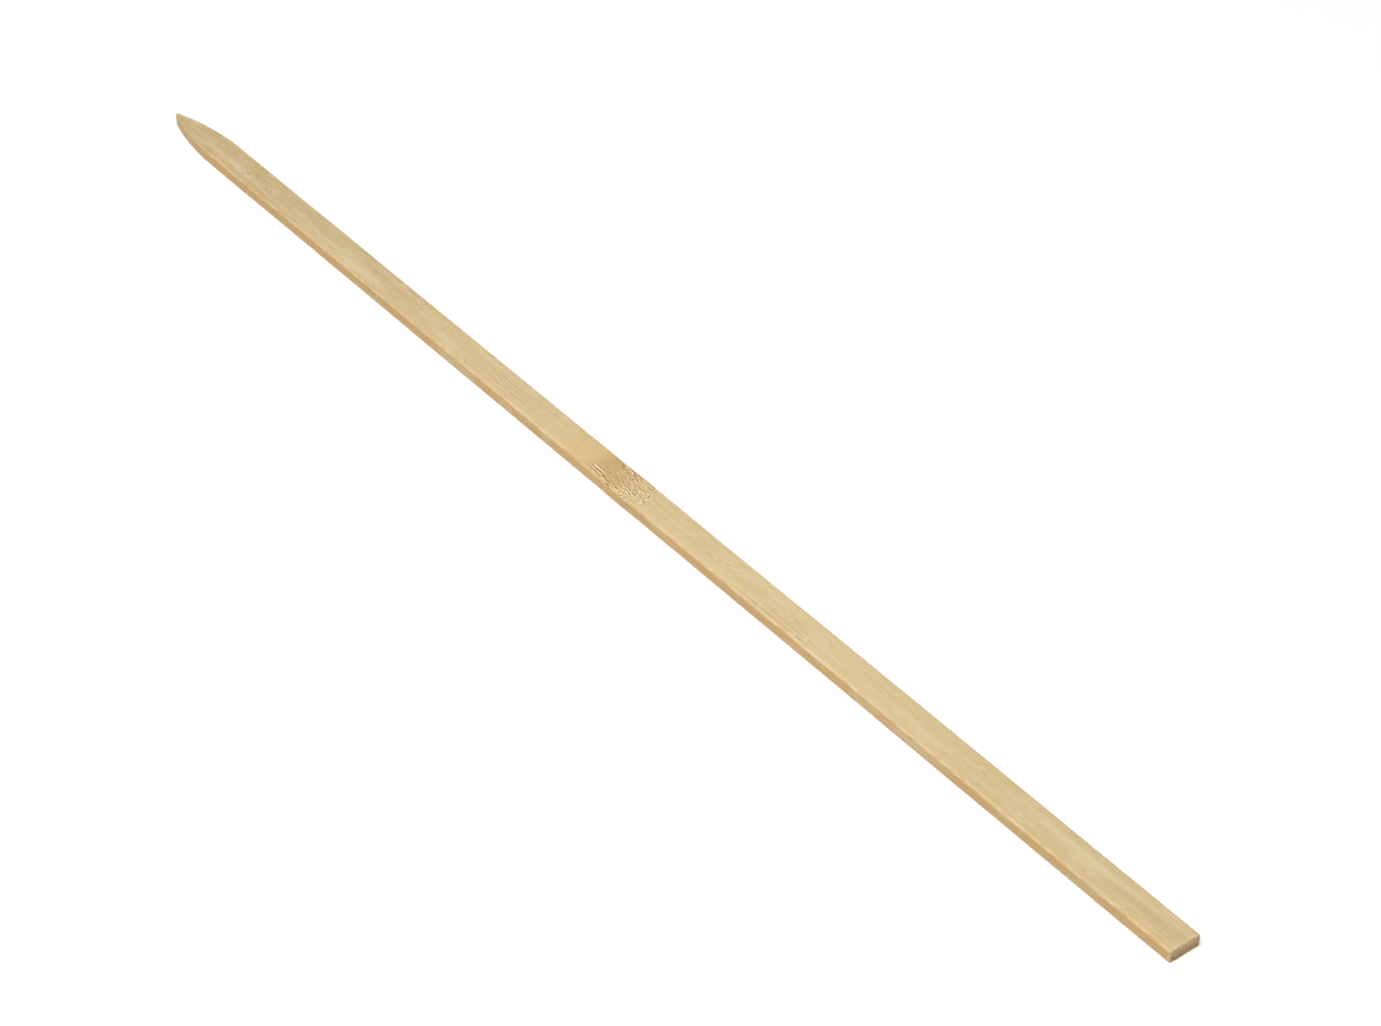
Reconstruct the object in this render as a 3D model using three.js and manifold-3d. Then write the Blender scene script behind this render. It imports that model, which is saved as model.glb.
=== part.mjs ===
// A flat bamboo skewer: one planed strip of culm wall, sawn square at the butt and ground to a point.
// Millimetres. +X runs along the strip to the point, +Y is across it, and +Z is up from the face it lies on.
// The origin is under the middle of the strip, on that face.
import * as THREE from "three";
import { mergeVertices } from "three/addons/utils/BufferGeometryUtils.js";
import Module from "manifold-3d";

const wasm = await Module();
wasm.setup();

// Strip
const skewerLength = 432; // from the sawn butt to the point
const stripWidth = 9.2;
const stripThickness = 3.9; // at the middle of the crowned upper face
const arrisRadius = 0.75; // the four long edges, eased by planing
const faceCrown = 0.12; // how much higher the upper face is at its middle than at its edges
const endEase = 0.22; // worn edge round the sawn end

// Point
const nearCheekLength = 22; // ground side at +Y, from shoulder to nose
const farCheekLength = 25; // ground side at -Y
const pointOffset = 0.75; // the point is ground a little towards +Y
const noseRadius = 0.7;
const noseArc = THREE.MathUtils.degToRad(68); // half of the round nose, where the cheeks run into it
const cheekBellyAlong = 0.39; // where a cheek swells most, as a share of its length from the nose
const cheekBellyOut = 0.8; // and how far out, as a share of its height at the shoulder

// Node: the ring where the culm had a joint, planed nearly level
const nodeFromPoint = 227;
const nodeLength = 15;
const nodeSwell = 0.16; // how proud it stands of the strip
const nodeFlat = 3; // the full height in the middle of the node

// Mesh
const arrisSegments = 6;
const cheekSegments = 22;
const swellSegments = 7;

const pointX = skewerLength / 2;
const buttX = -skewerLength / 2;
const nodeX = pointX - nodeFromPoint;
const bambooColor = 0xd8bf92;

function solidOf(geometry) {
  const bare = geometry.clone();
  bare.deleteAttribute("normal");
  bare.deleteAttribute("uv");
  const merged = mergeVertices(bare, 1e-4);
  return new wasm.Manifold(
    new wasm.Mesh({
      numProp: 3,
      vertProperties: merged.attributes.position.array,
      triVerts: new Uint32Array(merged.index.array),
    }),
  );
}

function geometryOf(solid) {
  const mesh = solid.getMesh();
  const geometry = new THREE.BufferGeometry();
  geometry.setAttribute("position", new THREE.BufferAttribute(mesh.vertProperties, 3));
  geometry.setIndex(new THREE.BufferAttribute(mesh.triVerts, 1));
  const faceted = geometry.toNonIndexed();
  faceted.computeVertexNormals();
  return faceted;
}

// The cut across the strip, in Y and Z: a flat lower face, straight sides, round arrises and a crowned upper face.
// grow moves every side out by that much.
function sectionShape(grow = 0) {
  const halfWidth = stripWidth / 2 + grow;
  const low = -grow;
  const shoulder = stripThickness - faceCrown + grow; // height of the upper face at its edges
  const innerY = halfWidth - arrisRadius;
  const lowZ = low + arrisRadius;
  const highZ = shoulder - arrisRadius;
  const quarter = Math.PI / 2;
  const section = new THREE.Shape();
  section.moveTo(-innerY, low);
  section.lineTo(innerY, low);
  section.absarc(innerY, lowZ, arrisRadius, -quarter, 0, false);
  section.absarc(innerY, highZ, arrisRadius, 0, quarter, false);
  section.quadraticCurveTo(0, shoulder + 2 * faceCrown, -innerY, shoulder);
  section.absarc(-innerY, highZ, arrisRadius, quarter, 2 * quarter, false);
  section.absarc(-innerY, lowZ, arrisRadius, 2 * quarter, 3 * quarter, false);
  return section;
}

// Extrudes a section along the strip between two places in X. easeAlong and easeIn shape both ends.
function alongStrip(section, fromX, toX, easeAlong, easeIn, easeSegments) {
  const geometry = new THREE.ExtrudeGeometry(section, {
    depth: toX - fromX - 2 * easeAlong,
    curveSegments: arrisSegments,
    bevelEnabled: true,
    bevelThickness: easeAlong,
    bevelSize: easeIn,
    bevelOffset: -easeIn,
    bevelSegments: easeSegments,
  });
  const sectionToStrip = new THREE.Matrix4().makeBasis(
    new THREE.Vector3(0, 1, 0),
    new THREE.Vector3(0, 0, 1),
    new THREE.Vector3(1, 0, 0),
  );
  geometry.applyMatrix4(sectionToStrip);
  geometry.translate(fromX + easeAlong, 0, 0);
  return solidOf(geometry);
}

function planedStrip() {
  return alongStrip(sectionShape(), buttX, pointX, endEase, endEase, 1);
}

// The swelling at the node fades into the strip at both ends. Its underside is planed off level with the strip.
function nodeRing() {
  const ring = alongStrip(
    sectionShape(nodeSwell),
    nodeX - nodeLength / 2,
    nodeX + nodeLength / 2,
    (nodeLength - nodeFlat) / 2,
    nodeSwell,
    swellSegments,
  );
  const plane = new THREE.BoxGeometry(nodeLength * 2, stripWidth * 2, stripThickness);
  plane.translate(nodeX, 0, -stripThickness / 2);
  return ring.subtract(solidOf(plane));
}

// What the grinder leaves, seen from above: the whole width up to the shoulders, then two curved cheeks and the nose.
function pointOutline() {
  const clear = stripWidth; // outside the strip and its node
  const halfWidth = stripWidth / 2;
  const noseX = pointX - noseRadius;
  const runOutX = noseX + noseRadius * Math.cos(noseArc);
  const runOutY = noseRadius * Math.sin(noseArc);
  const nearBellyY = pointOffset + (halfWidth - pointOffset) * cheekBellyOut;
  const farBellyY = pointOffset - (halfWidth + pointOffset) * cheekBellyOut;
  const outline = new THREE.Shape();
  outline.moveTo(buttX - clear, -clear);
  outline.lineTo(pointX - farCheekLength, -clear);
  outline.lineTo(pointX - farCheekLength, -halfWidth);
  outline.quadraticCurveTo(
    pointX - farCheekLength * cheekBellyAlong,
    farBellyY,
    runOutX,
    pointOffset - runOutY,
  );
  outline.absarc(noseX, pointOffset, noseRadius, -noseArc, noseArc, false);
  outline.quadraticCurveTo(
    pointX - nearCheekLength * cheekBellyAlong,
    nearBellyY,
    pointX - nearCheekLength,
    halfWidth,
  );
  outline.lineTo(pointX - nearCheekLength, clear);
  outline.lineTo(buttX - clear, clear);
  return outline;
}

function pointGrind() {
  const geometry = new THREE.ExtrudeGeometry(pointOutline(), {
    depth: stripThickness * 3,
    curveSegments: cheekSegments,
    bevelEnabled: false,
  });
  geometry.translate(0, 0, -stripThickness);
  return solidOf(geometry);
}

const skewerSolid = planedStrip().add(nodeRing()).intersect(pointGrind());

const skewer = new THREE.Mesh(
  geometryOf(skewerSolid),
  new THREE.MeshStandardMaterial({ color: bambooColor, roughness: 0.62, metalness: 0 }),
);
skewer.name = "skewer";

const part = new THREE.Group();
part.name = "bamboo_skewer";
part.add(skewer);

export default part;
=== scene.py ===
import bpy
import math
import numpy as np
from mathutils import Matrix, Vector


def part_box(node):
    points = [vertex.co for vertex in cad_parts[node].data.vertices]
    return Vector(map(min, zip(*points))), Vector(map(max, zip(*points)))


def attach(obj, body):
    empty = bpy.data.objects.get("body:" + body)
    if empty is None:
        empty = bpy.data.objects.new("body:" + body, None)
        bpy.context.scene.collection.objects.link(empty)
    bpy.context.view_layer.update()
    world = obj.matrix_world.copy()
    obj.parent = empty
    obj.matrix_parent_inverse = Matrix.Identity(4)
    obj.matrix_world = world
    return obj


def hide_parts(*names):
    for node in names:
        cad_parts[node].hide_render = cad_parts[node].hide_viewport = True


# A flat bamboo skewer, dressed: a planed strip with its fibres, its node, its ground point and its sawn butt.
# Sizes in the dictionaries are millimetres and turn into metres where they are used. The studio's are metres.

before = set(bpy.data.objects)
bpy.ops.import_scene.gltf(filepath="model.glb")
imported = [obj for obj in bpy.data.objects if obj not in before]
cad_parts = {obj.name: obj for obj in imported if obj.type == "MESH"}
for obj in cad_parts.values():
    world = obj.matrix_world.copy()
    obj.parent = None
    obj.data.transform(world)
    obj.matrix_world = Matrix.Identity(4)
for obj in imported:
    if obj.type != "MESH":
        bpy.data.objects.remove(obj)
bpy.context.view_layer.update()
skewerLow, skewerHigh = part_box("skewer")
mm = 0.001
print("frame loaded")


def srgb(red, green, blue):
    # a tone as a paint chart gives it, turned into the colour that a socket takes
    steps = [value / 255 for value in (red, green, blue)]
    return tuple(s / 12.92 if s <= 0.04045 else ((s + 0.055) / 1.055) ** 2.4 for s in steps) + (1.0,)


# Camera, at the photograph's viewing angle

sights = {
    "aim": (-25.06, -7.91, 0.0),  # where its axis meets the floor
    "distance": 902.2,
    "azimuth": 234.17,
    "elevation": 38.675,
    "roll": -1.576,
    "lens": 92.69,
    "sensor": 36.0,
    "clipStart": 10.0,
}


def placeCamera():
    turn = Matrix.Rotation(math.radians(sights["azimuth"]), 4, "Z")
    tilt = Matrix.Rotation(math.radians(90 - sights["elevation"]), 4, "X")
    roll = Matrix.Rotation(math.radians(sights["roll"]), 4, "Z")
    back = Matrix.Translation((0, 0, sights["distance"] * mm))
    data = bpy.data.cameras.new("camera")
    data.lens = sights["lens"]
    data.sensor_width = sights["sensor"]
    data.clip_start = sights["clipStart"] * mm
    camera = bpy.data.objects.new("camera", data)
    camera.matrix_world = Matrix.Translation(Vector(sights["aim"]) * mm) @ turn @ tilt @ roll @ back
    bpy.context.scene.collection.objects.link(camera)
    bpy.context.scene.camera = camera


placeCamera()
print("camera placed")


# Helpers for node trees

def addNode(tree, kind, inputs=None, **settings):
    node = tree.nodes.new(kind)
    for name, value in settings.items():
        setattr(node, name, value)
    for name, value in (inputs or {}).items():
        if isinstance(value, bpy.types.NodeSocket):
            tree.links.new(value, node.inputs[name])
        else:
            node.inputs[name].default_value = value
    return node


def maths(tree, operation, first, second=0.0, clamp=False):
    node = addNode(tree, "ShaderNodeMath", {0: first, 1: second}, operation=operation, use_clamp=clamp)
    return node.outputs[0]


def remap(tree, value, fromLow, fromHigh, toLow=0.0, toHigh=1.0, smooth=False):
    kind = "SMOOTHSTEP" if smooth else "LINEAR"
    ranges = {"Value": value, "From Min": fromLow, "From Max": fromHigh, "To Min": toLow, "To Max": toHigh}
    return addNode(tree, "ShaderNodeMapRange", ranges, interpolation_type=kind, clamp=True).outputs["Result"]


def blendColours(tree, factor, first, second):
    inputs = {0: factor, 6: first, 7: second}  # the sockets that a colour mix uses
    return addNode(tree, "ShaderNodeMix", inputs, data_type="RGBA", clamp_factor=True).outputs[2]


def coat(tree, under, mask, layer, start=0.0, full=1.0):
    # lays a tone over another where the mask runs from start to full: a layer is its tone and the most that
    # it covers
    tone, most = layer
    return blendColours(tree, remap(tree, mask, start, full, 0.0, most), under, tone)


def vertexMask(tree, name):
    return addNode(tree, "ShaderNodeAttribute", attribute_name=name, attribute_type="GEOMETRY").outputs["Fac"]


def placeOnPiece(tree):
    # the place on the piece that has the material, in metres
    return addNode(tree, "ShaderNodeTexCoord").outputs["Object"]


def stretchedPlace(tree, along, across):
    # the place on the skewer, in lattice cells: along and across are a cell's size in millimetres
    perMetre = [maths(tree, "DIVIDE", 1 / mm, size) for size in (along, across)]
    cells = addNode(tree, "ShaderNodeCombineXYZ", {"X": perMetre[0], "Y": perMetre[1], "Z": perMetre[1]})
    inputs = {0: placeOnPiece(tree), 1: cells.outputs[0]}
    return addNode(tree, "ShaderNodeVectorMath", inputs, operation="MULTIPLY").outputs[0]


def stretchedNoise(tree, along, across, detail=2.0, roughness=0.5):
    place = stretchedPlace(tree, along, across)
    inputs = {"Vector": place, "Scale": 1.0, "Detail": detail, "Roughness": roughness}
    return addNode(tree, "ShaderNodeTexNoise", inputs).outputs[0]


def newGroup(name, inputs, outputs):
    tree = bpy.data.node_groups.new(name, "ShaderNodeTree")
    for socketName, value in inputs.items():
        kind = "NodeSocketColor" if isinstance(value, tuple) else "NodeSocketFloat"
        socket = tree.interface.new_socket(socketName, in_out="INPUT", socket_type=kind)
        socket.default_value = value
    for socketName, kind in outputs.items():
        tree.interface.new_socket(socketName, in_out="OUTPUT", socket_type=kind)
    given = tree.nodes.new("NodeGroupInput").outputs
    made = tree.nodes.new("NodeGroupOutput").inputs
    return tree, given, made


def useGroup(tree, group, **values):
    return addNode(tree, "ShaderNodeGroup", values, node_tree=group).outputs


# Shader node groups, shared by the skewer's finishes

noiseSpan = (0.3, 0.7)  # where most of a noise's values lie
bareWood = 0.5  # the planer's flecks are paler above this value and darker below it


def fibreGrain():
    # the culm's bundles of fibre: lines on a face that runs along them and dots where they are cut across
    inputs = {"bundlePitch": 0.62, "bundleLength": 60.0, "finePitch": 0.18, "fineLength": 12.0}
    outputs = {"Bundles": "NodeSocketFloat", "Fine": "NodeSocketFloat", "Height": "NodeSocketFloat"}
    core, rim = 0.1, 0.42  # of a bundle, in cells of the pattern
    faintest = 0.1
    tree, given, made = newGroup("fibreGrain", inputs, outputs)
    coarse = stretchedPlace(tree, given["bundleLength"], given["bundlePitch"])
    cells = addNode(tree, "ShaderNodeTexVoronoi", {"Vector": coarse, "Scale": 1.0, "Randomness": 0.9})
    bundles = remap(tree, cells.outputs["Distance"], core, rim, 1.0, 0.0, smooth=True)
    chance = addNode(tree, "ShaderNodeSeparateColor", {0: cells.outputs["Color"]}).outputs[0]
    bundles = maths(tree, "MULTIPLY", bundles, remap(tree, chance, 0.2, 0.9, faintest, 1.0))
    noise = stretchedNoise(tree, given["fineLength"], given["finePitch"], detail=3.0, roughness=0.6)
    fine = remap(tree, noise, *noiseSpan)
    height = maths(tree, "MULTIPLY", maths(tree, "ADD", bundles, fine), 0.5)
    tree.links.new(bundles, made["Bundles"])
    tree.links.new(fine, made["Fine"])
    tree.links.new(height, made["Height"])
    return tree


def planerFlecks():
    # loose patches of short pale and dark flecks, where the planer lifted the fibres
    inputs = {"length": 2.0, "pitch": 0.3, "cover": 0.53}
    patchLength, patchWidth, patchFull = 9.0, 2.2, 0.72
    contrast = 3.0
    tree, given, made = newGroup("planerFlecks", inputs, {"Value": "NodeSocketFloat"})
    dashes = stretchedNoise(tree, given["length"], given["pitch"], detail=1.0)
    patches = remap(tree, stretchedNoise(tree, patchLength, patchWidth), given["cover"], patchFull)
    swing = maths(tree, "MULTIPLY", maths(tree, "SUBTRACT", dashes, bareWood), patches)
    value = maths(tree, "ADD", maths(tree, "MULTIPLY", swing, contrast), bareWood, clamp=True)
    tree.links.new(value, made["Value"])
    return tree


def culmTone():
    # the slow drift of colour along the strip, with pink and yellow clouds, and on the long sides a warmer
    # wood tone that is also darker as painted shade
    inputs = {
        "pointTone": srgb(195, 170, 123),
        "middleTone": srgb(220, 196, 147),
        "buttTone": srgb(206, 182, 134),
        "pinkTone": srgb(226, 194, 155),
        "strawTone": srgb(210, 188, 122),
        "paleTone": srgb(228, 211, 170),
        # warmer wood on the long sides, darkened there as painted shade
        "sideToneAndShade": srgb(205, 164, 98),
        "sideStart": 4.15,
        "sideStrength": 0.84,
    }
    buttDrift, pointDrift = (-210 * mm, -90 * mm), (0.0, 205 * mm)  # where the ends' tones run out
    clouds = {  # a cloud's length and width, the noise at which it starts and is full, and the most it covers
        "pinkTone": (10.0, 2.4, 0.5, 0.68, 0.75),
        "strawTone": (7.5, 1.9, 0.5, 0.68, 0.65),
        "paleTone": (34.0, 3.4, 0.52, 0.7, 0.55),
    }
    sideFull = 4.6  # from the middle, as sideStart is
    wanderLength, wanderWidth, wander = 14.0, 3.5, (-0.22, 0.4)  # how far the edge of the warm side tone, with its painted shade, strays
    tree, given, made = newGroup("culmTone", inputs, {"Color": "NodeSocketColor"})
    axes = addNode(tree, "ShaderNodeSeparateXYZ", {0: placeOnPiece(tree)}).outputs
    fromButt = remap(tree, axes["X"], *buttDrift, smooth=True)
    tone = blendColours(tree, fromButt, given["buttTone"], given["middleTone"])
    toPoint = remap(tree, axes["X"], *pointDrift, smooth=True)
    tone = blendColours(tree, toPoint, tone, given["pointTone"])
    for name, (along, across, low, high, most) in clouds.items():
        cloud = remap(tree, stretchedNoise(tree, along, across), low, high, 0.0, most)
        tone = blendColours(tree, cloud, tone, given[name])
    side = maths(tree, "MULTIPLY", maths(tree, "ABSOLUTE", axes["Y"]), 1 / mm)
    stray = remap(tree, stretchedNoise(tree, wanderLength, wanderWidth), *noiseSpan, *wander)
    # the long sides take the side tone: warmer wood, and darker there as painted shade
    sideTintAndShade = remap(tree, maths(tree, "ADD", side, stray), given["sideStart"], sideFull, smooth=True)
    sideTintAndShade = maths(tree, "MULTIPLY", sideTintAndShade, given["sideStrength"])
    tree.links.new(blendColours(tree, sideTintAndShade, tone, given["sideToneAndShade"]), made["Color"])
    return tree


def wornEdge():
    # paler and smoother where hands and planing rub the edges; the paler tone along the rounded edges is also
    # a painted highlight
    tree, given, made = newGroup("wornEdge", {"wear": 0.5}, {"Mask": "NodeSocketFloat"})
    broken = remap(tree, stretchedNoise(tree, 3.6, 0.9, detail=3.0), 0.4, 0.62)
    rubbed = maths(tree, "MULTIPLY", vertexMask(tree, "arris"), broken)
    tree.links.new(maths(tree, "MULTIPLY", rubbed, given["wear"]), made["Mask"])
    return tree


def darkSpecks():
    # rare dark specks in the wood, drawn out along its fibres
    inputs = {"spacing": 9.0, "size": 0.02}
    drawnOut = 4.0  # how much longer than wide a speck is
    absent = 0.45  # share of the cells that have none
    strength = 0.8
    tree, given, made = newGroup("darkSpecks", inputs, {"Mask": "NodeSocketFloat"})
    spread = stretchedPlace(tree, maths(tree, "MULTIPLY", given["spacing"], drawnOut), given["spacing"])
    cells = addNode(tree, "ShaderNodeTexVoronoi", {"Vector": spread, "Scale": 1.0})
    chance = addNode(tree, "ShaderNodeSeparateColor", {0: cells.outputs["Color"]}).outputs
    reach = maths(tree, "MULTIPLY", given["size"], remap(tree, chance[0], 0.0, 1.0, 0.3, 1.0))
    speck = remap(tree, maths(tree, "DIVIDE", cells.outputs["Distance"], reach), 0.5, 1.0, 1.0, 0.0)
    speck = maths(tree, "MULTIPLY", speck, maths(tree, "GREATER_THAN", chance[1], absent))
    tree.links.new(maths(tree, "MULTIPLY", speck, strength), made["Mask"])
    return tree


groups = {
    "fibreGrain": fibreGrain(),
    "planerFlecks": planerFlecks(),
    "culmTone": culmTone(),
    "wornEdge": wornEdge(),
    "darkSpecks": darkSpecks(),
}


# Finishes. A pair is a tone laid over the culm's own and the most that it covers.

haloEnd = 0.4  # the band mask is the node's halo up to here and its darker band above


def newFinish(name, specular):
    material = bpy.data.materials.new(name)
    material.use_nodes = True
    tree = material.node_tree
    tree.nodes.clear()
    shader = addNode(tree, "ShaderNodeBsdfPrincipled", {"Specular IOR Level": specular})
    out = addNode(tree, "ShaderNodeOutputMaterial")
    tree.links.new(shader.outputs[0], out.inputs["Surface"])
    return material, tree, shader


def addBump(tree, shader, height, distance):
    bump = addNode(tree, "ShaderNodeBump", {"Height": height, "Distance": distance * mm, "Strength": 1.0})
    tree.links.new(bump.outputs[0], shader.inputs["Normal"])


planedFinish = {
    "fibre": (srgb(178, 145, 96), 0.6),
    "fine": (srgb(236, 218, 178), 0.24),
    "fleckLight": (srgb(238, 219, 176), 0.65),
    "fleckDark": (srgb(172, 140, 92), 0.4),
    "halo": (srgb(220, 182, 120), 0.4),
    "band": (srgb(184, 146, 92), 0.44),
    # pale node fibres, partly a painted highlight on their ridges
    "nodePaleAndHighlight": (srgb(250, 230, 184), 0.9),
    "nodeDark": (srgb(142, 106, 60), 0.8),
    "rim": (srgb(236, 218, 178), 0.6),
    # pale tone of the worn edges, also a painted highlight along the rounded edges
    "wornAndHighlightTone": srgb(248, 218, 162),
    "wear": 0.65,
    "polish": 0.1,  # how much smoother a fully worn edge is
    "speckTone": srgb(112, 86, 54),
    "roughness": (0.5, 0.68),
    "specular": 0.3,
    "bump": 0.025,
}


def planedBamboo():
    s = planedFinish
    material, tree, shader = newFinish("planedBamboo", s["specular"])
    grain = useGroup(tree, groups["fibreGrain"])
    flecks = useGroup(tree, groups["planerFlecks"])["Value"]
    band, ridges = vertexMask(tree, "band"), vertexMask(tree, "figure")
    colour = useGroup(tree, groups["culmTone"])["Color"]
    colour = coat(tree, colour, grain["Bundles"], s["fibre"])
    colour = coat(tree, colour, grain["Fine"], s["fine"])
    colour = coat(tree, colour, flecks, s["fleckLight"], bareWood, 1.0)
    colour = coat(tree, colour, flecks, s["fleckDark"], bareWood, 0.0)
    colour = coat(tree, colour, band, s["halo"], 0.0, haloEnd)
    colour = coat(tree, colour, band, s["band"], haloEnd, 1.0)
    # pale on the raised fibres of the node's figure, partly a painted highlight on them
    colour = coat(tree, colour, ridges, s["nodePaleAndHighlight"], 0.05, 0.8)
    colour = coat(tree, colour, ridges, s["nodeDark"], -0.05, -0.9)
    wear = useGroup(tree, groups["wornEdge"], wear=s["wear"])["Mask"]
    # the worn edges' pale tone, which is also a painted highlight along the rounded edges
    colour = blendColours(tree, wear, colour, s["wornAndHighlightTone"])
    colour = coat(tree, colour, vertexMask(tree, "rim"), s["rim"])
    specks = useGroup(tree, groups["darkSpecks"])["Mask"]
    colour = blendColours(tree, specks, colour, s["speckTone"])
    tree.links.new(colour, shader.inputs["Base Color"])
    rough = remap(tree, grain["Fine"], 0.0, 1.0, *s["roughness"])
    rough = maths(tree, "SUBTRACT", rough, maths(tree, "MULTIPLY", wear, s["polish"]))
    tree.links.new(rough, shader.inputs["Roughness"])
    addBump(tree, shader, maths(tree, "ADD", grain["Height"], flecks), s["bump"])
    return material


groundFinish = {
    "cutTone": srgb(214, 182, 134),
    "cutShare": 0.55,
    "fibre": (srgb(168, 138, 96), 0.3),
    "dust": (srgb(228, 208, 174), 0.35),
    # how strongly the side tone, warmer wood that is also painted shade, shows on the ground cheeks
    "sideStrength": 0.4,
    "bundlePitch": 0.5,
    "bundleLength": 26.0,
    "fineLength": 4.0,
    "scratchWidth": 0.16,
    "scratchLength": 3.0,
    "scratchHeight": 0.6,  # share of the relief: the rest is the fibres'
    "roughness": (0.66, 0.8),
    "specular": 0.25,
    "bump": 0.03,
}


def groundBamboo():
    s = groundFinish
    material, tree, shader = newFinish("groundBamboo", s["specular"])
    sizes = {name: s[name] for name in ("bundlePitch", "bundleLength", "fineLength")}
    grain = useGroup(tree, groups["fibreGrain"], **sizes)
    colour = useGroup(tree, groups["culmTone"], sideStrength=s["sideStrength"])["Color"]
    colour = blendColours(tree, s["cutShare"], colour, s["cutTone"])
    colour = coat(tree, colour, grain["Bundles"], s["fibre"])
    scratches = stretchedNoise(tree, s["scratchWidth"], s["scratchLength"])
    colour = coat(tree, colour, scratches, s["dust"], 0.45, 0.7)
    tree.links.new(colour, shader.inputs["Base Color"])
    tree.links.new(remap(tree, scratches, *noiseSpan, *s["roughness"]), shader.inputs["Roughness"])
    cut = maths(tree, "MULTIPLY", scratches, s["scratchHeight"])
    fibres = maths(tree, "MULTIPLY", grain["Height"], 1 - s["scratchHeight"])
    addBump(tree, shader, maths(tree, "ADD", cut, fibres), s["bump"])
    return material


sawnFinish = {
    "litTopTone": srgb(237, 211, 166),  # painted light: the end is paler from this height up
    "litTopHeight": 3.4,
    "shadedLowTone": srgb(186, 154, 112),  # painted shade: the end is darker from this height down
    "shadedLowHeight": 0.9,
    "bundle": (srgb(138, 102, 64), 0.85),
    "torn": (srgb(238, 220, 184), 0.8),
    "burn": (srgb(176, 142, 104), 0.5),
    "bundlePitch": 0.66,
    "finePitch": 0.16,
    "kerfLength": 50.0,
    "kerfPitch": 0.6,
    "roughness": (0.74, 0.88),
    "specular": 0.2,
    "bump": 0.06,
}


def sawnBamboo():
    s = sawnFinish
    material, tree, shader = newFinish("sawnBamboo", s["specular"])
    grain = useGroup(tree, groups["fibreGrain"], bundlePitch=s["bundlePitch"], finePitch=s["finePitch"])
    height = addNode(tree, "ShaderNodeSeparateXYZ", {0: placeOnPiece(tree)}).outputs["Z"]
    # the sawn end's colour, paler at the top as painted light and darker towards the bottom as painted shade
    toLitTop = remap(tree, height, s["shadedLowHeight"] * mm, s["litTopHeight"] * mm)
    colour = blendColours(tree, toLitTop, s["shadedLowTone"], s["litTopTone"])
    kerf = stretchedNoise(tree, s["kerfLength"], s["kerfPitch"], detail=3.0)
    colour = coat(tree, colour, kerf, s["burn"], 0.35, 0.65)
    colour = coat(tree, colour, grain["Bundles"], s["bundle"])
    colour = coat(tree, colour, vertexMask(tree, "rim"), s["torn"])
    tree.links.new(colour, shader.inputs["Base Color"])
    tree.links.new(remap(tree, grain["Fine"], 0.0, 1.0, *s["roughness"]), shader.inputs["Roughness"])
    addBump(tree, shader, grain["Height"], s["bump"])
    return material


finishes = [planedBamboo(), groundBamboo(), sawnBamboo()]
planed, ground, sawn = range(3)
print("finishes made")


# The strip. An uneven field is its strength, the length and width of its cells, and its seed.

node = {
    "fromPoint": 227.0,
    "length": 17.0,  # the swelling, which fades out at both ends
    "crest": 1.5,  # half of the length that has its full height
    "swell": 0.16,
    "figureHeight": 0.08,  # relief of its short wavy fibres
    "pitch": 0.68,
    "dash": 1.25,  # how long they are
    "lean": 0.16,  # how they veer, from leanFrom over leanOver towards the butt
    "leanFrom": -9.0,
    "leanOver": 12.0,
    "gapSeed": 13,
    "lowerFigure": 0.4,  # how much of them shows on the sides and the lower face
    # where each starts, is full, ebbs and ends, from the node's middle towards the butt
    "fibres": (-10.0, -7.5, 3.0, 6.0),
    "bright": (-14.0, -12.0, -10.6, -8.6),  # long bright dashes by the near edge, painted pale by the finish, partly as a painted highlight
    "faint": (-23.0, -15.0, -15.0, -11.0),
    "halo": (-42.0, -15.0, -4.0, 5.0),
    "band": (-17.0, -11.0, -5.0, 4.0),
    # the same over the skin, from the middle of the upper face
    "brightAcross": (0.8, 1.4, 4.1, 4.9),
    "faintAcross": (0.0, 1.2, 3.6, 4.6),
    "brightPitch": 0.98,
    "brightHeight": 1.1,
    "faintHeight": 0.22,
    # uneven fields
    "warp": (0.4, 2.0, 1.4, 11),
    "fineWarp": (0.19, 0.75, 0.7, 12),
    "wobble": (0.22, 1.1, 1.0, 17),
    "gapShift": (0.8, 3.0, 0.6, 18),
    "speckle": (0.45, 0.6, 0.3, 19),
    "patches": (0.6, 3.0, 2.0, 15),
    "brightShift": (1.5, 1.0, 1.0, 20),
    "brightSpeckle": (0.5, 0.9, 0.4, 24),
    "crumple": (0.3, 0.9, 0.75, 21),
    "rubbed": (0.5, 1.2, 0.9, 22),
    # where the fibres curl, towards the butt: place along and across, reach, and the way that the arc bulges
    "curls": [(4.6, -0.4, 3.2, 0.3), (3.8, -3.4, 2.6, -0.3), (5.2, 2.4, 2.6, 0.7), (2.4, 1.2, 2.0, -0.9)],
    "curlPitch": 0.95,
    "curlHeight": 1.2,
}
strip = {
    "width": 1000 * (skewerHigh.y - skewerLow.y) - 2 * node["swell"],
    "thickness": 1000 * (skewerHigh.z - skewerLow.z) - node["swell"],
    "arris": 0.75,  # radius of the long edges
    "crown": 0.12,  # how much higher the upper face is at its middle
    "planing": 0.06,  # how far it wanders
    "edgeWave": (1.0, 47.0, 1.0, 21),
    "edgeRipple": (0.4, 13.0, 1.0, 22),
    "faceWave": (1.0, 61.0, 1.0, 23),
    "nodeTrim": 0.01,  # how much more is planed off the long sides at the node
    "fibreRelief": 0.014,
    "grooves": (1.0, 26.0, 0.32, 41),
    "broadGrooves": (0.6, 40.0, 1.1, 42),
    "faceCells": 62,  # cells of the mesh across a broad face, between its arrises
    "sideCells": 8,
    "arrisCells": 6,
    "crease": 50.0,  # edges sharper than this angle stay sharp
}
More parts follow.
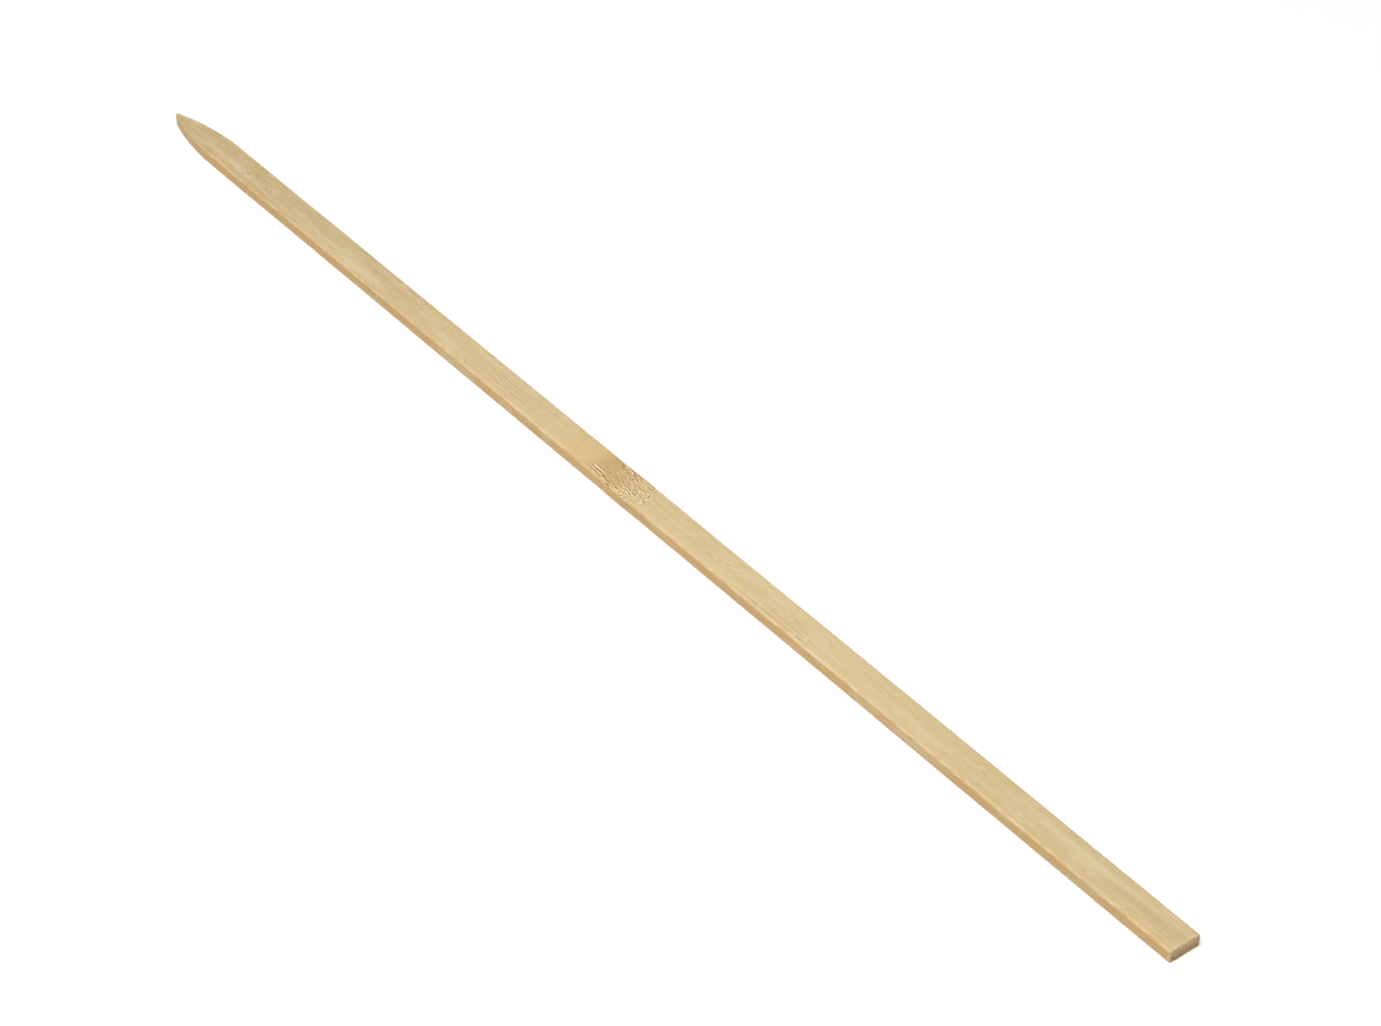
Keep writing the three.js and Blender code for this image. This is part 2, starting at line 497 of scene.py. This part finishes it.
point = {
    "nearLength": 22.0,  # ground side at +Y
    "farLength": 25.0,
    "offset": 0.75,
    "noseRadius": 0.7,
    "noseArc": 68.0,
    "lastNoseArc": 14.0,  # the nose closes with a small flat
    "noseSteps": 8,
    "bellyAlong": 0.39,
    "bellyOut": 0.8,
    "wornEdge": 0.34,
    "wornFrom": 0.55,  # how far up the arris it starts
    "wornMost": 0.3,  # share of the width left there that it may take
    "chatter": 0.02,  # ripples that the grinder leaves
    "chatterPitch": 1.3,
    "smoothTip": 4.0,  # over which grooves and ripples fade out
}
butt = {
    "ease": 0.24,  # worn edge round the sawn end
    "chips": 0.9,  # how unevenly it is worn
    "bigChips": (1.0, 0.8, 1.0, 53),
    "smallChips": (0.8, 0.3, 1.0, 54),
    "sawDepth": 0.05,
    "sawMarks": (1.0, 0.24, 2.8, 51),
    "sawLean": 0.3,
    "roughDepth": 0.05,
    "roughCells": (1.0, 0.42, 0.34, 52),
    "rimLevel": 0.55,  # of the pale rim round the sawn end, and how uneven it is on the skin and on the end
    "skinRim": (0.45, 0.5, 0.5, 55),
    "endRim": (0.45, 0.5, 0.5, 9),
}
cellsAcross = strip["faceCells"] + strip["arrisCells"]  # of an end, which is closed with a grid
cellsDown = strip["sideCells"] + strip["arrisCells"]
buttX = 1000 * skewerLow.x
pointX = 1000 * skewerHigh.x
nodeX = pointX - node["fromPoint"]


def latticeNoise(u, v, seed):
    # smooth values from -1 to 1 over a plane, with one random value at each whole number
    size = 256
    table = np.random.default_rng(seed).uniform(-1, 1, (size, size))
    u, v = np.broadcast_arrays(u, v)
    lowU, lowV = np.floor(u).astype(int), np.floor(v).astype(int)
    shareU, shareV = u - lowU, v - lowV
    shareU = shareU * shareU * (3 - 2 * shareU)
    shareV = shareV * shareV * (3 - 2 * shareV)
    row, nextRow = lowU % size, (lowU + 1) % size
    column, nextColumn = lowV % size, (lowV + 1) % size
    low = table[row, column] * (1 - shareU) + table[nextRow, column] * shareU
    high = table[row, nextColumn] * (1 - shareU) + table[nextRow, nextColumn] * shareU
    return low * (1 - shareV) + high * shareV


def uneven(u, v, field):
    # a field's value at each place
    strength, length, width, seed = field
    return strength * latticeNoise(u / length, v / width, seed)


def fade(value, start, end):
    # 0 before start, 1 after end, smooth between them
    share = np.clip((value - start) / (end - start), 0, 1)
    return share * share * (3 - 2 * share)


def within(value, start, full, ebb, end):
    # 1 from full to ebb, and 0 before start and after end
    return fade(value, start, full) * (1 - fade(value, ebb, end))


def stationsAlong():
    # places along the strip where its section is drawn: close together at the butt, the node and the point,
    # with these steps at these distances from the butt
    toNode, toPoint = nodeX - buttX, pointX - buttX
    fromButt = [0, 0.3, 0.8, 3.0, 10.0]
    fromButt += [toNode - 12.0, toNode - 8.0, toNode + 18.0, toNode + 26.0]
    fromButt += [toPoint - 34.0, toPoint - 28.0, toPoint]
    steps = [0.05, 0.07, 0.14, 0.3, 1.3, 1.3, 0.22, 0.22, 1.3, 1.3, 0.5, 0.4]
    leastStep = 0.3  # before the nose
    noseX = pointX - point["noseRadius"]
    noseStart = noseX + point["noseRadius"] * math.cos(math.radians(point["noseArc"]))
    places = [buttX]
    while places[-1] < noseStart - leastStep:
        places.append(places[-1] + float(np.interp(places[-1] - buttX, fromButt, steps)))
    places[-1] = noseStart
    arc = np.radians(np.linspace(point["noseArc"], point["lastNoseArc"], point["noseSteps"] + 1)[1:])
    places.extend(noseX + point["noseRadius"] * np.cos(arc))
    return np.array(places)


def cheek(length, side, x):
    # how far out the ground side stands at each x: side is 1 for +Y and -1 for -Y
    samples = 200
    clear = 9.0  # beyond the strip's side, where nothing is ground
    half, offset, radius = strip["width"] / 2, point["offset"] * side, point["noseRadius"]
    noseX, arc = pointX - radius, math.radians(point["noseArc"])
    start = (noseX + radius * math.cos(arc), offset + radius * math.sin(arc))
    belly = (pointX - length * point["bellyAlong"], offset + (half - offset) * point["bellyOut"])
    shoulder = (pointX - length, half)
    t = np.linspace(0, 1, samples)
    along, out = (
        (1 - t) ** 2 * start[k] + 2 * t * (1 - t) * belly[k] + t * t * shoulder[k] for k in range(2)
    )
    reach = np.interp(x, along[::-1], out[::-1])
    overNose = np.sqrt(np.clip(radius ** 2 - (x - noseX) ** 2, 0, None)) + offset
    reach = np.where(x > start[0], overNose, reach)
    return np.where(x < pointX - length, half + clear, reach)


def nodeFigure(x, across):
    # the node's short wavy fibres, from -1 to 1, and the mask of its halo and band. Across is measured over
    # the skin from the middle of the upper face. The fibres run along the strip towards the point and curl
    # round towards the butt.
    d = nodeX - x  # towards the butt
    warp = uneven(d, across, node["warp"]) + uneven(d, across, node["fineWarp"])
    lean = node["lean"] * np.clip(d - node["leanFrom"], 0, node["leanOver"])
    lines = (across + warp - lean) / node["pitch"]
    stripes = np.sin(2 * np.pi * (lines + uneven(d, lines, node["wobble"])))
    gaps = latticeNoise(d / node["dash"] + uneven(d, across, node["gapShift"]), lines, node["gapSeed"])
    dashes = stripes * (0.3 + 0.9 * fade(gaps, -0.5, 0.2)) + uneven(d, across, node["speckle"])
    core = within(d, *node["fibres"]) * np.clip(0.85 + uneven(d, across, node["patches"]), 0.15, 1.3)
    figure = core * dashes

    # the bright dashes, and faint ones before them; the finish paints these raised dashes pale, partly as a
    # painted highlight
    rung = (across + 0.6 * warp - 0.06 * d) / node["brightPitch"]
    shift = uneven(0.5, np.round(rung), node["brightShift"])
    start, full, ebb, end = node["bright"]
    bright = fade(d + shift, start, full) * (1 - fade(d - shift, ebb, end))
    bright = bright * within(across, *node["brightAcross"])
    rungs = np.cos(2 * np.pi * rung) + uneven(d, across, node["brightSpeckle"])
    figure = figure * (1 - bright) + node["brightHeight"] * bright * rungs
    faint = within(d, *node["faint"]) * within(across, *node["faintAcross"])
    figure = figure + node["faintHeight"] * faint * dashes

    # the curls
    crumple = uneven(d, across, node["crumple"])
    worn = 0.65 + uneven(d, across, node["rubbed"])
    for place, side, reach, turn in node["curls"]:
        away = np.hypot(0.8 * (d - place), 1.25 * (across - side)) + 0.7 * warp + crumple
        arc = np.cos(np.arctan2(across - side, d - place) - turn)
        swirl = np.sin(2 * np.pi * away / node["curlPitch"]) * within(away, 0.2, 0.6, 0.5 * reach, reach)
        figure = figure + node["curlHeight"] * worn * swirl * fade(arc, -0.2, 0.6)
    band = haloEnd * within(d, *node["halo"]) + (1 - haloEnd) * within(d, *node["band"])
    return np.clip(figure, -1, 1), band


def sawnDepth(y, z):
    # how far the saw's marks and the torn fibres go into the butt
    marks = uneven(z + butt["sawLean"] * y, y, butt["sawMarks"])
    rough = uneven(y, z, butt["roughCells"])
    return butt["sawDepth"] * (1 + marks) + butt["roughDepth"] * (1 + rough)


def ringOfSection():
    # the section's outline, clockwise from the far upper corner: what each point lies on, on which side, and
    # how far along it is
    face, side, arris = strip["faceCells"], strip["sideCells"], strip["arrisCells"]
    half = arris // 2
    quarter = np.linspace(0, 90, arris + 1)
    rows = []
    rows += [("top", -1, angle) for angle in quarter[half:]]
    rows += [("upper", 0, share) for share in np.linspace(-1, 1, face + 1)[1:-1]]
    rows += [("top", 1, angle) for angle in quarter[::-1]]
    rows += [("wall", 1, share) for share in np.linspace(1, 0, side + 1)[1:-1]]
    rows += [("low", 1, angle) for angle in quarter]
    rows += [("lower", 0, share) for share in np.linspace(1, -1, face + 1)[1:-1]]
    rows += [("low", -1, angle) for angle in quarter[::-1]]
    rows += [("wall", -1, share) for share in np.linspace(0, 1, side + 1)[1:-1]]
    rows += [("top", -1, angle) for angle in quarter[:half]]
    return rows


def planedSections(x):
    # Y and Z of every ring point at every station, before wear, with the outward directions and two masks:
    # the rounded long edges, and what the grinder has cut
    rows = ringOfSection()
    r, crown, wornFrom = strip["arris"], strip["crown"], point["wornFrom"]
    half = strip["width"] / 2
    inner = half - r
    shoulder = strip["thickness"] - crown
    swelling = 1 - fade(np.abs(nodeX - x), node["crest"], node["length"] / 2)
    swell = node["swell"] * swelling
    reach = {1: cheek(point["nearLength"], 1, x), -1: cheek(point["farLength"], -1, x)}
    worn = np.minimum(point["wornEdge"], point["wornMost"] * (reach[1] + reach[-1]))
    drift, faceEnd, crownAt = {}, {}, {}
    for side in (1, -1):
        wave = uneven(x, 0.5 + 3 * side, strip["edgeWave"]) + uneven(x, side, strip["edgeRipple"])
        drift[side] = strip["planing"] * wave * (1 - swelling) - strip["nodeTrim"] * swelling
        faceEnd[side] = np.minimum(inner + drift[side], reach[side] - worn)
        crownAt[side] = crown * (1 - np.clip(faceEnd[side] / inner, -1, 1) ** 2)
    lift = -0.5 * strip["planing"] * (1 + uneven(x, 0.0, strip["faceWave"]))
    places = np.zeros((len(x), len(rows), 2))
    outward = np.zeros_like(places)
    arrisMask = np.zeros((len(x), len(rows)))
    groundMask = np.zeros((len(x), len(rows)), bool)
    for k, (kind, side, value) in enumerate(rows):
        if side == 0:
            share = (value + 1) / 2
            up = 1.0 if kind == "upper" else -1.0
            y = -faceEnd[-1] * (1 - share) + faceEnd[1] * share
            z = shoulder + crown * (1 - (y / inner) ** 2) + lift if up > 0 else np.zeros_like(x)
            direction = (0.0, up)
        elif kind == "wall":
            y = side * np.minimum(half + drift[side], reach[side])
            z = r + (shoulder + lift - 2 * r) * value
            direction = (side, 0.0)
            groundMask[:, k] = reach[side] < half + drift[side]
        else:
            turn = math.radians(value)
            wornBack = worn * max(0.0, (math.sin(turn) - wornFrom) / (1 - wornFrom)) ** 1.5
            full = inner + drift[side] + r * math.cos(turn)
            y = side * np.minimum(full, reach[side] - wornBack)
            high = shoulder + lift - r + (r + crownAt[side]) * math.sin(turn)
            z = high if kind == "top" else r - r * math.sin(turn) + np.zeros_like(x)
            direction = (side * math.cos(turn), math.sin(turn) * (1 if kind == "top" else -1))
            groundMask[:, k] = reach[side] < full
            arrisMask[:, k] = math.sin(2 * turn) ** 2
        outward[:, k] = direction
        grow = np.array([1.0, 0.0 if direction[1] < 0 else 1.0]) * direction
        places[:, k] = np.stack([y, z], 1) + swell[:, None] * grow
    return places, outward, arrisMask, groundMask


def endPatch(rim, depthX):
    # a closed end, stretched between the four sides of the rim: its inner places and the grid of their
    # numbers, in which -1 stands for a place that comes with the patch and the rest are places of the rim
    across, down = cellsAcross, cellsDown
    top, near = rim[: across + 1], rim[across : across + down + 1]
    bottom = rim[across + down : 2 * across + down + 1][::-1]
    far = np.concatenate([rim[2 * across + down :], rim[:1]])[::-1]
    u, v = np.meshgrid(np.linspace(0, 1, across + 1), np.linspace(0, 1, down + 1))
    u, v = u[:, :, None], v[:, :, None]
    patch = (1 - v) * top[None] + v * bottom[None] + (1 - u) * far[:, None] + u * near[:, None]
    upper = (1 - u) * top[0] + u * top[-1]
    lower = (1 - u) * bottom[0] + u * bottom[-1]
    inner = (patch - (1 - v) * upper - v * lower)[1:-1, 1:-1].reshape(-1, 2)
    grid = np.full((down + 1, across + 1), -1)
    grid[0] = np.arange(across + 1)
    grid[:, -1] = across + np.arange(down + 1)
    grid[-1] = (across + down + np.arange(across + 1))[::-1]
    grid[:, 0] = ((2 * across + down + np.arange(down + 1)) % len(rim))[::-1]
    return np.column_stack([depthX(inner), inner]), grid


def closedEnds(x, places):
    # the sawn butt and the small flat of the nose: each one's new places, faces, finish and pale rim
    ring = places.shape[1]
    count = len(x) * ring
    ends = []
    for station, finish in ((0, sawn), (len(x) - 1, ground)):
        isButt = finish == sawn
        inner, grid = endPatch(places[station], lambda flat: x[station] + isButt * sawnDepth(*flat.T))
        fresh = grid < 0
        grid = grid + station * ring
        grid[fresh] = count + np.arange(len(inner))
        count += len(inner)
        y, z = inner[:, 1], inner[:, 2]
        toRim = np.minimum(np.minimum(z, strip["thickness"] - z), strip["width"] / 2 - abs(y))
        rim = isButt * (1 - fade(toRim, 0.1, 0.5)) * (butt["rimLevel"] + uneven(y, z, butt["endRim"]))
        cells = np.stack([grid[:-1, :-1], grid[:-1, 1:], grid[1:, 1:], grid[1:, :-1]], 2).reshape(-1, 4)
        ends.append((inner, cells if isButt else cells[:, ::-1], finish, rim))
    return ends


def foldedMap(x, around, perimeter, caps):
    # where the skin lies on a square picture: in four rows, one for each quarter of the length, with both
    # ends in a strip above them, so that the picture holds far more detail than one straight row would
    rows, rowHeight, filled = 4, 0.238, 0.98
    left, low = 0.004, 0.003
    before, spare = 1.2, 2.5  # millimetres free before a quarter, and in all
    capLeft, capStep, capLow = 0.06, 0.12, 0.9605
    rowLength = (x[-1] - x[0]) / rows
    scale = (1 - 2 * left) / (rowLength + spare)
    middles = (x[:-1] + x[1:]) / 2
    row = np.minimum(((middles - x[0]) / rowLength).astype(int), rows - 1)[:, None, None]
    alongX = np.stack([x[:-1], x[1:], x[1:], x[:-1]], 1)[:, None, :]
    edges = np.append(around, perimeter)
    aroundS = np.stack([edges[:-1], edges[:-1], edges[1:], edges[1:]], 1)[None]
    u = left + (alongX - x[0] - row * rowLength + before) * scale + 0 * aroundS
    v = low + row * rowHeight + aroundS * (rowHeight * filled / perimeter) + 0 * alongX
    parts = [np.stack([u, v], 3).reshape(-1, 2)]
    for number, flat in enumerate(caps):
        parts.append(np.array([capLeft + capStep * number, capLow]) + flat.reshape(-1, 2) * scale)
    return np.concatenate(parts)


def skinRelief(along, skin, fromSeam, figure, groundMask):
    # how far the fibres, the node's figure and the grinder's ripples move the skin. Each is lowered by its
    # own height, so that nothing stands proud of the strip.
    beforeNose = 1 - fade(along, pointX - point["smoothTip"], pointX)
    grooves = uneven(along, skin, strip["grooves"]) + uneven(along, skin, strip["broadGrooves"])
    highest = strip["grooves"][0] + strip["broadGrooves"][0]
    relief = strip["fibreRelief"] * (grooves * fromSeam - highest) * beforeNose
    relief = relief + 0.5 * node["figureHeight"] * (figure - fade(np.abs(figure), 0, 0.12))
    ripples = np.sin(2 * np.pi * along / point["chatterPitch"]) - 1
    return np.where(groundMask, point["chatter"] * ripples * beforeNose, relief)


def buttEase(fromButt, skin, fromSeam):
    # how far the worn and chipped edge round the butt stands back
    chips = uneven(skin, 0.5, butt["bigChips"]) + uneven(skin, 0.5, butt["smallChips"])
    ease = butt["ease"] * (1 + butt["chips"] * np.clip(chips, -0.7, 1.2) * fromSeam)
    toEnd = np.clip(fromButt / ease, 0, 1)
    return ease * (1 - np.sqrt(1 - (1 - toEnd) ** 2))


def buildSkewer():
    x = stationsAlong()
    places, outward, arrisMask, groundMask = planedSections(x)
    stations, ring = places.shape[:2]
    section = places[stations // 3]
    steps = np.hypot(*np.diff(section, axis=0, append=section[:1]).T)
    around = np.concatenate([[0], np.cumsum(steps)[:-1]])
    perimeter = steps.sum()

    # the distance over the skin from the middle of the upper face, which jumps at the far lower edge
    seam = 2 * cellsAcross + cellsDown
    skin = around - around[cellsAcross // 2]
    skin[seam:] -= perimeter
    toSeam = np.abs((around - around[seam] + perimeter / 2) % perimeter - perimeter / 2)
    fromSeam = fade(toSeam, 0.1, 0.8)[None]
    along = np.repeat(x[:, None], ring, 1)
    skin = np.repeat(skin[None], stations, 0)
    fromButt = along - buttX

    figure, band = nodeFigure(along, skin)
    below = 1 - fade(outward[:, :, 1], 0.1, 0.9)
    shown = fromSeam * (1 - (1 - node["lowerFigure"]) * below) * ~groundMask
    figure = figure * shown
    relief = skinRelief(along, skin, fromSeam, figure, groundMask) * fade(fromButt, 0, 0.3)
    relief = relief - buttEase(fromButt, skin, fromSeam)
    places = places + outward * relief[:, :, None]
    places[:, :, 1] = np.maximum(places[:, :, 1], 0)
    rim = (1 - fade(fromButt, 0.2, 0.9)) * (butt["rimLevel"] + uneven(along, skin, butt["skinRim"]))
    inset = sawnDepth(places[:, :, 0], places[:, :, 1]) * (1 - fade(fromButt, 0, 0.6))

    vertices = [np.concatenate([(along + inset)[:, :, None], places], 2).reshape(-1, 3)]
    masks = {"arris": [arrisMask], "figure": [figure], "band": [band * shown], "rim": [rim]}
    index = np.arange(stations * ring).reshape(stations, ring)
    beside = np.roll(index, -1, 1)
    quads = [np.stack([index[:-1], index[1:], beside[1:], beside[:-1]], 2).reshape(-1, 4)]
    cutFaces = groundMask & np.roll(groundMask, -1, 1)
    slots = [np.where(cutFaces[1:] & cutFaces[:-1], ground, planed).ravel()]
    ends = closedEnds(x, places)
    for inner, cells, finish, endRim in ends:
        vertices.append(inner)
        quads.append(cells)
        slots.append(np.full(len(cells), finish))
        for name, layer in masks.items():
            layer.append(endRim if name == "rim" else 0 * endRim)
    vertices = np.concatenate(vertices)
    caps = [vertices[cells][:, :, 1:] for _, cells, _, _ in ends]

    mesh = bpy.data.meshes.new("bamboo_skewer")
    mesh.from_pydata((vertices * mm).tolist(), [], np.concatenate(quads).tolist())
    for finish in finishes:
        mesh.materials.append(finish)
    mesh.polygons.foreach_set("material_index", np.concatenate(slots).astype(np.int32))
    for name, layers in masks.items():
        values = np.concatenate([layer.ravel() for layer in layers])
        mesh.attributes.new(name, "FLOAT", "POINT").data.foreach_set("value", values.astype(np.float32))
    bakeMap = foldedMap(x, around, perimeter, caps)
    mesh.uv_layers.new(name="OFBake").uv.foreach_set("vector", bakeMap.ravel().astype(np.float32))
    mesh.update()
    mesh.validate()
    mesh.shade_smooth()
    mesh.set_sharp_from_angle(angle=math.radians(strip["crease"]))
    skewer = bpy.data.objects.new("bamboo_skewer", mesh)
    bpy.context.scene.collection.objects.link(skewer)
    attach(skewer, "root")
    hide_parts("skewer")
    print("skewer built:", len(mesh.vertices), "vertices,", 2 * len(mesh.polygons), "triangles")


buildSkewer()


# Fibres that the saw tore loose round the butt

torn = {
    "width": 0.15,
    "flatness": 0.7,  # their height as a share of their width
    "taper": 0.75,
    "sides": 6,
    "steps": 14,
    "sink": 0.06,  # how deep the root sits in the wood
    # each one's root on the rim, as Y and Z, the way it runs over the sawn end, its length and its curl
    "fibres": [
        ((2.3, 3.5), (0.93, -0.37), 2.2, -0.9),
        ((0.9, 3.55), (0.5, -0.86), 1.5, 0.5),
        ((4.2, 2.4), (-0.4, -0.9), 1.6, -0.6),
        ((-1.7, 3.5), (-0.8, -0.6), 1.7, 0.5),
        ((-3.9, 3.3), (0.5, -0.85), 1.3, 0.4),
        ((2.3, 0.35), (0.9, 0.4), 1.5, 0.3),
        ((-2.5, 0.35), (-0.9, 0.4), 1.3, -0.3),
    ],
}


def fibrePath(root, run, length, curl):
    # from inside the wood out of the sawn face, bending over it and lying along it
    along = np.linspace(0, 1, torn["steps"])
    heading = np.arctan2(run[1], run[0]) + curl * along ** 2
    step = length / (torn["steps"] - 1)
    flat = np.cumsum(np.stack([np.cos(heading), np.sin(heading)], 1) * step, axis=0) - step
    y, z = root[0] + flat[:, 0], root[1] + flat[:, 1]
    half = 0.5 * torn["width"]
    out = fade(along, 0.0, 0.3)
    depth = np.maximum(sawnDepth(y, z) - half * out, half) + torn["sink"] * (1 - out)
    return np.stack([buttX + depth, y, z], 1)


def buildTornFibres():
    vertices, faces = [], []
    sides, steps = torn["sides"], torn["steps"]
    turns = (np.arange(sides) * 2 * np.pi / sides)[None, :, None]
    for root, run, length, curl in torn["fibres"]:
        path = fibrePath(root, run, length, curl)
        heading = np.gradient(path, axis=0)
        heading = heading / np.linalg.norm(heading, axis=1)[:, None]
        beside = np.cross(heading, [1.0, 0.0, 0.0])
        beside = beside / np.linalg.norm(beside, axis=1)[:, None]
        above = np.cross(beside, heading)
        radius = 0.5 * torn["width"] * (1 - torn["taper"] * np.linspace(0, 1, steps) ** 2)
        circle = np.cos(turns) * beside[:, None] + torn["flatness"] * np.sin(turns) * above[:, None]
        base = sum(len(part) for part in vertices)
        vertices.append((path[:, None] + circle * radius[:, None, None]).reshape(-1, 3))
        for i in range(steps - 1):
            here, ahead = base + i * sides, base + (i + 1) * sides
            for k in range(sides):
                beyond = (k + 1) % sides
                faces.append([here + k, ahead + k, ahead + beyond, here + beyond])
        faces.append([base + k for k in range(sides)])
        faces.append([base + (steps - 1) * sides + k for k in reversed(range(sides))])
    vertices = np.concatenate(vertices)
    vertices[:, 0] = np.maximum(vertices[:, 0], buttX)
    mesh = bpy.data.meshes.new("torn_fibres")
    mesh.from_pydata((vertices * mm).tolist(), [], faces)
    mesh.materials.append(finishes[sawn])
    mesh.update()
    mesh.shade_smooth()
    fibres = bpy.data.objects.new("torn_fibres", mesh)
    bpy.context.scene.collection.objects.link(fibres)
    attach(fibres, "root")
    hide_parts("skewer")
    print("torn fibres built:", len(torn["fibres"]))


buildTornFibres()


# Floor, backdrop and lights, in metres

studio = {
    "floorSize": 12.0,
    "floorDrop": 0.02 * mm,  # keeps the floor just clear of the lower face
    "floorTone": 0.82,
    "seenTone": 0.88,  # the same floor, as the camera sees it
    "nearGlow": 0.25,  # only for the camera, so that the lit floor is white
    "farGlow": 1.0,  # the same far out, where less light falls
    "farFrom": 0.42,  # from the skewer's middle, where the glow starts to rise
    "farTo": 1.15,
    "world": 0.3,
    "worldSeen": 1.0,
    "lampPower": 38.0,
    "lampDistance": 2.2,
    "lampSize": 1.5,
    "lampTilt": 24.0,  # from straight overhead
    "lampAzimuth": -25.0,  # the way it leans, from +Y towards +X
}


def seenDirectly(tree):
    # 1 for what the camera sees, also in a reflection, and 0 for what lights the object
    path = addNode(tree, "ShaderNodeLightPath").outputs
    mirrored = maths(tree, "MAXIMUM", path["Is Glossy Ray"], path["Is Transmission Ray"])
    return maths(tree, "MAXIMUM", path["Is Camera Ray"], mirrored)


def buildFloor():
    s = studio
    half = s["floorSize"] / 2
    z = -s["floorDrop"]
    corners = [(-half, -half, z), (half, -half, z), (half, half, z), (-half, half, z)]
    mesh = bpy.data.meshes.new("floor")
    mesh.from_pydata(corners, [], [(0, 1, 2, 3)])
    material = bpy.data.materials.new("paleFloor")
    material.use_nodes = True
    tree = material.node_tree
    tree.nodes.clear()
    seen = seenDirectly(tree)
    tone = remap(tree, seen, 0.0, 1.0, s["floorTone"], s["seenTone"])
    matt = addNode(tree, "ShaderNodeBsdfDiffuse", {"Color": tone})
    distance = addNode(tree, "ShaderNodeVectorMath", {0: placeOnPiece(tree)}, operation="LENGTH")
    away = distance.outputs["Value"]
    level = remap(tree, away, s["farFrom"], s["farTo"], s["nearGlow"], s["farGlow"], smooth=True)
    strength = maths(tree, "MULTIPLY", seen, level)
    glow = addNode(tree, "ShaderNodeEmission", {"Color": (1, 1, 1, 1), "Strength": strength})
    both = addNode(tree, "ShaderNodeAddShader", {0: matt.outputs[0], 1: glow.outputs[0]})
    out = addNode(tree, "ShaderNodeOutputMaterial")
    tree.links.new(both.outputs[0], out.inputs["Surface"])
    mesh.materials.append(material)
    floor = bpy.data.objects.new("floor", mesh)
    bpy.context.scene.collection.objects.link(floor)


def buildLights():
    world = bpy.data.worlds.new("softbox")
    world.use_nodes = True
    tree = world.node_tree
    tree.nodes.clear()
    strength = remap(tree, seenDirectly(tree), 0.0, 1.0, studio["world"], studio["worldSeen"])
    sky = addNode(tree, "ShaderNodeBackground", {"Color": (1, 1, 1, 1), "Strength": strength})
    out = addNode(tree, "ShaderNodeOutputWorld")
    tree.links.new(sky.outputs[0], out.inputs["Surface"])
    bpy.context.scene.world = world

    tilt, azimuth = math.radians(studio["lampTilt"]), math.radians(studio["lampAzimuth"])
    lean = Vector((math.sin(azimuth), math.cos(azimuth), 0)) * math.sin(tilt)
    direction = lean + Vector((0, 0, math.cos(tilt)))
    data = bpy.data.lights.new("softLamp", "AREA")
    data.shape = "DISK"
    data.size = studio["lampSize"]
    data.energy = studio["lampPower"]
    lamp = bpy.data.objects.new("softLamp", data)
    lamp.location = direction * studio["lampDistance"]
    lamp.rotation_euler = direction.to_track_quat("Z", "Y").to_euler()
    bpy.context.scene.collection.objects.link(lamp)


buildFloor()
buildLights()
bpy.context.scene.view_settings.view_transform = "Standard"
print("studio lit")
